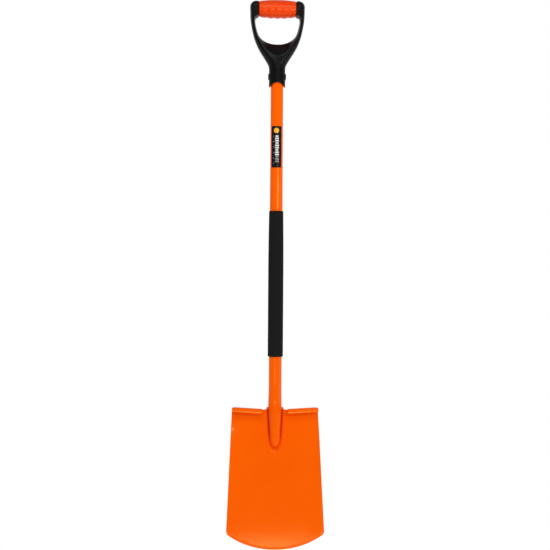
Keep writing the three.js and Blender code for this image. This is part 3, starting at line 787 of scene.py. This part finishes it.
def foam_sleeve(foam):
    profile = sleeve_profile()
    points = turned_points(profile, TUBE_SIDES)
    faces = grid_quads(len(profile), TUBE_SIDES, closed=True) + joined_ends(len(profile), TUBE_SIDES)
    sleeve = make_piece("foam_sleeve_fine", points, faces, foam, ("foam_sleeve",), sharp=60)
    return sleeve


def wrapped_patch(name, low, high, half_width_at, material, lift, side=0.0, nodes=(), steps=PATCH_STEPS):
    """A thin patch that lies on the tube's front. half_width_at gives half its width by height."""
    heights = low + (high - low) * (1 - np.cos(np.linspace(0, math.pi, steps))) / 2
    layers = []
    for radius in (TUBE_TOP_RADIUS + lift + FILM_OUT, TUBE_TOP_RADIUS + lift - FILM_IN):
        for z in heights:
            half_width = max(half_width_at(float(z)), MIN_HALF_WIDTH)
            turn = (LABEL_SIDE + side + np.linspace(-1, 1, PATCH_COLUMNS) * half_width) / TUBE_TOP_RADIUS
            across, forward = radius * np.sin(turn), -radius * np.cos(turn)
            layers.append(np.stack((across, forward, np.full(PATCH_COLUMNS, z)), 1))
    points = np.concatenate(layers)
    faces = sheet_faces(steps, PATCH_COLUMNS)
    return make_piece(name, points, faces, material, nodes, sharp=40)


def rounded_box(low, high, half_width, corner):
    def half_width_at(z):
        near = min(z - low, high - z)
        drop = max(corner - near, 0)
        return half_width - corner + math.sqrt(max(corner ** 2 - drop ** 2, 0))
    return half_width_at


def disc_patch(name, centre, radius, ink, **settings):
    def half_width_at(z):
        return math.sqrt(max(radius ** 2 - (z - centre) ** 2, 0))
    return wrapped_patch(name, centre - radius, centre + radius, half_width_at, ink, PRINT_LIFT, **settings)


def shaft_label(film, amber, pale, grey):
    """A plain label: a disc, a column of blocks and a column of ticks, with no lettering."""
    shape = rounded_box(LABEL_BOTTOM, LABEL_TOP, LABEL_HALF_WIDTH, LABEL_CORNER)
    wrapped_patch("label_base", LABEL_BOTTOM, LABEL_TOP, shape, film, LABEL_LIFT,
                  nodes=("shaft_label",), steps=BASE_STEPS)
    disc_patch("label_disc", DISC_HEIGHT, DISC_RADIUS, amber)
    for i in range(BLOCK_COUNT):
        high = BLOCK_TOP - i * BLOCK_PITCH
        low = high - BLOCK_HEIGHT
        ink = pale if i < PALE_BLOCKS else grey
        half_width = BLOCK_HALF_WIDTH if i % 3 else NARROW_HALF_WIDTH
        shape = rounded_box(low, high, half_width, BLOCK_CORNER)
        wrapped_patch(f"label_block_{i + 1}", low, high, shape, ink, PRINT_LIFT,
                      side=BLOCK_SIDE, steps=MARK_STEPS)
    for i in range(TICK_COUNT):
        disc_patch(f"label_tick_{i + 1}", TICK_TOP - i * TICK_PITCH, TICK_RADIUS, grey,
                   side=TICK_SIDE, steps=MARK_STEPS)


# ---------- handle ----------

def handle_shell(plastic):
    """The CAD handle's own shape, remeshed finely, with its moulded edges rounded off."""
    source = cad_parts["handle_frame"].data.copy()
    shell = bmesh.new()
    shell.from_mesh(source)
    bmesh.ops.remove_doubles(shell, verts=shell.verts, dist=WELD_DISTANCE)
    shell.to_mesh(source)
    shell.free()
    draft = bpy.data.objects.new("handle_draft", source)
    bpy.context.scene.collection.objects.link(draft)
    voxels = draft.modifiers.new("voxels", "REMESH")
    voxels.mode = "VOXEL"
    voxels.voxel_size = HANDLE_VOXEL
    graph = bpy.context.evaluated_depsgraph_get()
    mesh = bpy.data.meshes.new_from_object(draft.evaluated_get(graph))
    bpy.data.objects.remove(draft)
    mesh.name = "handle_shell"
    relax(mesh, np.full(len(mesh.vertices), HANDLE_RELAX), HANDLE_RELAX_ROUNDS)
    return finish_piece("handle_shell", mesh, plastic, ("handle_frame",))


def grip_radius(x, turn):
    """The grip's radius: barrel shaped, with finger swells on its underside and a step at each end."""
    share = np.clip(np.abs(x) / GRIP_HALF_LENGTH, 0, 1)
    barrel = mix(GRIP_END_RADIUS, GRIP_RADIUS, 1 - share ** BARREL_POWER)
    under = smooth_step(-0.1, 0.9, np.cos(turn - FINGER_TURN))
    fingers = FINGER_DEPTH * np.cos(2 * math.pi * x / FINGER_PITCH) * under * (1 - share ** 4)
    step = -END_STEP * smooth_step(END_STEP_FROM, END_STEP_TO, share)
    edge = -END_ROUND * smooth_step(END_STEP_TO, 1.0, share) ** 2
    return barrel + fingers + step + edge


def grip_ring(position, radius, turns):
    """A ring of points round the cross bar's axis."""
    across = np.full(GRIP_SIDES, position)
    return np.stack((across, radius * np.cos(turns), GRIP_HEIGHT + radius * np.sin(turns)), 1).tolist()


def grip_piece(rubber):
    """The grip as a ring-shaped solid: its outside, then the bore that fits the cross bar."""
    share = np.linspace(-1, 1, GRIP_RINGS)
    outside = GRIP_HALF_LENGTH * np.sign(share) * (1 - (1 - np.abs(share)) ** GRIP_CROWDING)
    turns = np.linspace(0, 2 * math.pi, GRIP_SIDES, endpoint=False)
    points = []
    for position in outside:
        points += grip_ring(position, grip_radius(position, turns), turns)
    for position in (GRIP_HALF_LENGTH, -GRIP_HALF_LENGTH):
        points += grip_ring(position, GRIP_BORE, turns)
    rings = GRIP_RINGS + 2
    faces = grid_quads(rings, GRIP_SIDES, closed=True) + joined_ends(rings, GRIP_SIDES)
    return make_piece("grip_fine", points, faces, rubber, ("handle_grip",), sharp=50)


def bolt_profile():
    """(radius, distance out from the handle's middle) from the shank's end to the dome's top."""
    side_top = BOLT_HEAD_SEAT + HEAD_SIDE
    profile = [
        (BOLT_HEAD_RADIUS * SHANK_SHARE, BOLT_HEAD_SEAT - SHANK_LENGTH),
        (BOLT_HEAD_RADIUS * SHANK_SHARE, BOLT_HEAD_SEAT),
        (BOLT_HEAD_RADIUS - HEAD_CHAMFER, BOLT_HEAD_SEAT),
        (BOLT_HEAD_RADIUS, BOLT_HEAD_SEAT + HEAD_CHAMFER),
    ]
    for t in np.linspace(0, 1, 10):
        rise = (BOLT_HEAD_TOP - side_top) * math.sin(t * math.pi / 2)
        profile.append((BOLT_HEAD_RADIUS - HEAD_DOME * t ** DOME_POWER, side_top + rise))
    return profile


def bolt_head(name, direction, steel, node):
    """A domed head with a hexagon socket, and its shank."""
    profile = bolt_profile()
    outwards = [(radius, along * direction) for radius, along in profile]
    points = turned_points(outwards, BOLT_SIDES, axis="x", height=BOLT_HEIGHT)
    faces = grid_quads(len(profile), BOLT_SIDES, closed=True)
    faces.append(tuple(range(BOLT_SIDES)))
    for level in (BOLT_HEAD_TOP, BOLT_HEAD_TOP - HEX_DEPTH):
        for i in range(BOLT_SIDES):
            turn = 2 * math.pi * i / BOLT_SIDES
            corner = (turn % (math.pi / 3)) - math.pi / 6
            radius = HEX_RADIUS * math.cos(math.pi / 6) / math.cos(corner)
            across, up = radius * math.cos(turn), radius * math.sin(turn)
            points.append((level * direction, across, BOLT_HEIGHT + up))
    start = (len(profile) - 1) * BOLT_SIDES
    faces += grid_quads(3, BOLT_SIDES, closed=True, start=start)
    faces.append(tuple(range(start + 2 * BOLT_SIDES, start + 3 * BOLT_SIDES)))
    return make_piece(name, points, faces, steel, (node,), sharp=35)


# ---------- stage, light and camera ----------

def glowing(name, strength):
    material = bpy.data.materials.new(name)
    material.use_nodes = True
    tree = material.node_tree
    tree.nodes.clear()
    output = tree.nodes.new("ShaderNodeOutputMaterial")
    glow = tree.nodes.new("ShaderNodeEmission")
    glow.inputs["Color"].default_value = (1, 1, 1, 1)
    glow.inputs["Strength"].default_value = strength
    tree.links.new(glow.outputs["Emission"], output.inputs["Surface"])
    material.cycles.emission_sampling = "NONE"
    return material


def stage_plane(name, near, far, material):
    """A rectangle across the stage. near and far are the (depth, height) of its two long edges."""
    corners = [(-STAGE_REACH, *near), (STAGE_REACH, *near), (STAGE_REACH, *far), (-STAGE_REACH, *far)]
    mesh = bpy.data.meshes.new(name)
    mesh.from_pydata(corners, [], [(0, 1, 2, 3)])
    mesh.materials.append(material)
    plane = bpy.data.objects.new(name, mesh)
    bpy.context.scene.collection.objects.link(plane)
    return plane


def studio_light(name, azimuth, distance, height, width, tall, power, target):
    """A rectangular light at an angle from straight in front, positive to the right."""
    data = bpy.data.lights.new(name, "AREA")
    data.shape = "RECTANGLE"
    data.size = width
    data.size_y = tall
    data.energy = power
    light = bpy.data.objects.new(name, data)
    turn = math.radians(azimuth)
    light.location = ORIGIN + Vector((distance * math.sin(turn), -distance * math.cos(turn), height))
    aim = ORIGIN + Vector((0, 0, target)) - light.location
    light.rotation_euler = aim.to_track_quat("-Z", "Y").to_euler()
    bpy.context.scene.collection.objects.link(light)
    return light


def build_stage():
    white = glowing("pale_stage", 1.0)
    ground = cad_box[0].z
    stage_plane("floor", (STAGE_FRONT, ground), (STAGE_BACK, ground), white)
    stage_plane("backdrop", (STAGE_BACK, BACKDROP_BOTTOM), (STAGE_BACK, BACKDROP_TOP), white)


def build_lights():
    world = bpy.data.worlds.new("studio")
    bpy.context.scene.world = world
    world.use_nodes = True
    world.node_tree.nodes["Background"].inputs["Color"].default_value = (1, 1, 1, 1)
    world.node_tree.nodes["Background"].inputs["Strength"].default_value = SKY_STRENGTH
    for light in LIGHTS:
        studio_light(*light)


def build_camera():
    data = bpy.data.cameras.new("camera")
    data.sensor_width = SENSOR_WIDTH
    data.lens = SENSOR_WIDTH * CAMERA_DISTANCE / FRAME_WIDTH
    camera = bpy.data.objects.new("camera", data)
    turn = Matrix.Rotation(-CAMERA_TURN, 4, "Z")
    level = Matrix.Rotation(CAMERA_ROLL, 4, "Y") @ Matrix.Rotation(math.pi / 2, 4, "X")
    place = ORIGIN + Vector((0, 0, CAMERA_HEIGHT)) + turn @ Vector((CAMERA_SIDE, -CAMERA_DISTANCE, 0))
    camera.matrix_world = Matrix.Translation(place) @ turn @ level
    bpy.context.scene.collection.objects.link(camera)
    bpy.context.scene.camera = camera


build_camera()
paint = orange_powder_coat()
steel = black_steel()
blade_shell(paint)
shaft_piece(paint)
toe_weld(paint)
collar_weld(paint)
foam_sleeve(black_foam())
shaft_label(
    label_film(),
    print_ink("amber_ink", "E8A11A", "F2B22A"),
    print_ink("pale_ink", "CFCFCD", "DEDEDC"),
    print_ink("grey_ink", "77787A", "8A8B8D"),
)
handle_shell(black_plastic())
grip_piece(orange_rubber())
bolt_head("bolt_head_left", -1, steel, "handle_bolt")
bolt_head("bolt_head_right", 1, steel, "handle_barrel_nut")
build_stage()
build_lights()
bpy.context.scene.view_settings.view_transform = "Standard"
